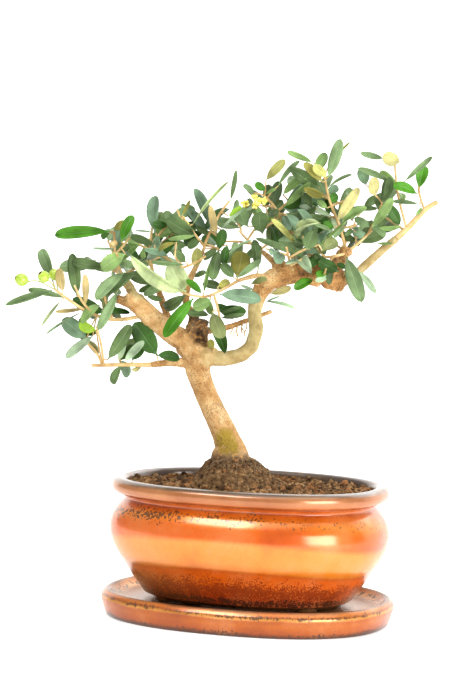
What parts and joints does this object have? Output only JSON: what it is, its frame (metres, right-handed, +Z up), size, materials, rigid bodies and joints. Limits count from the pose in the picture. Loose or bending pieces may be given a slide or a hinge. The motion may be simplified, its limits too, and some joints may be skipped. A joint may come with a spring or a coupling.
{
  "type": "potted olive bonsai tree",
  "caption": "Small olive tree with a leaning trunk and a wide open crown, growing in a footed oval glazed pot on its drip saucer.",
  "frame": {"origin": "on the surface it stands on, under the middle of the saucer", "axes": "+Z up, X along the pot's long axis, -Y the side that the picture shows"},
  "size_m": [0.2157, 0.15, 0.2652],
  "materials": {
    "pot_glaze": "gloss orange glaze",
    "saucer_glaze": "gloss orange glaze",
    "soil": "crumbly and matte",
    "bark": "rough bark",
    "leaf": "leathery leaves"
  },
  "bodies": {
    "root": {"back_bough": "bark", "back_left_bough": "bark", "back_low_bough": "bark", "back_right_bough": "bark", "centre_arm": "bark", "centre_bough": "bark", "dry_twig": "bark", "leaves_back_centre": "leaf", "leaves_back_left": "leaf", "leaves_back_low": "leaf", "leaves_back_right": "leaf", "leaves_centre_front": "leaf", "leaves_centre_top": "leaf", "leaves_front_centre": "leaf", "leaves_front_right": "leaf", "leaves_left_low": "leaf", "leaves_left_tip": "leaf", "leaves_left_top": "leaf", "leaves_right_back": "leaf", "leaves_right_low": "leaf", "leaves_right_mid": "leaf", "leaves_right_tip": "leaf", "leaves_right_top": "leaf", "left_bough": "bark", "left_low_bough": "bark", "left_riser": "bark", "left_stub": "bark", "pot": "pot_glaze", "right_arm": "bark", "right_back_bough": "bark", "right_fork": "bark", "right_head": "bark", "right_low_bough": "bark", "right_rising_bough": "bark", "saucer": "saucer_glaze", "soil": "soil", "trunk": "bark"}
  },
  "joints": []
}
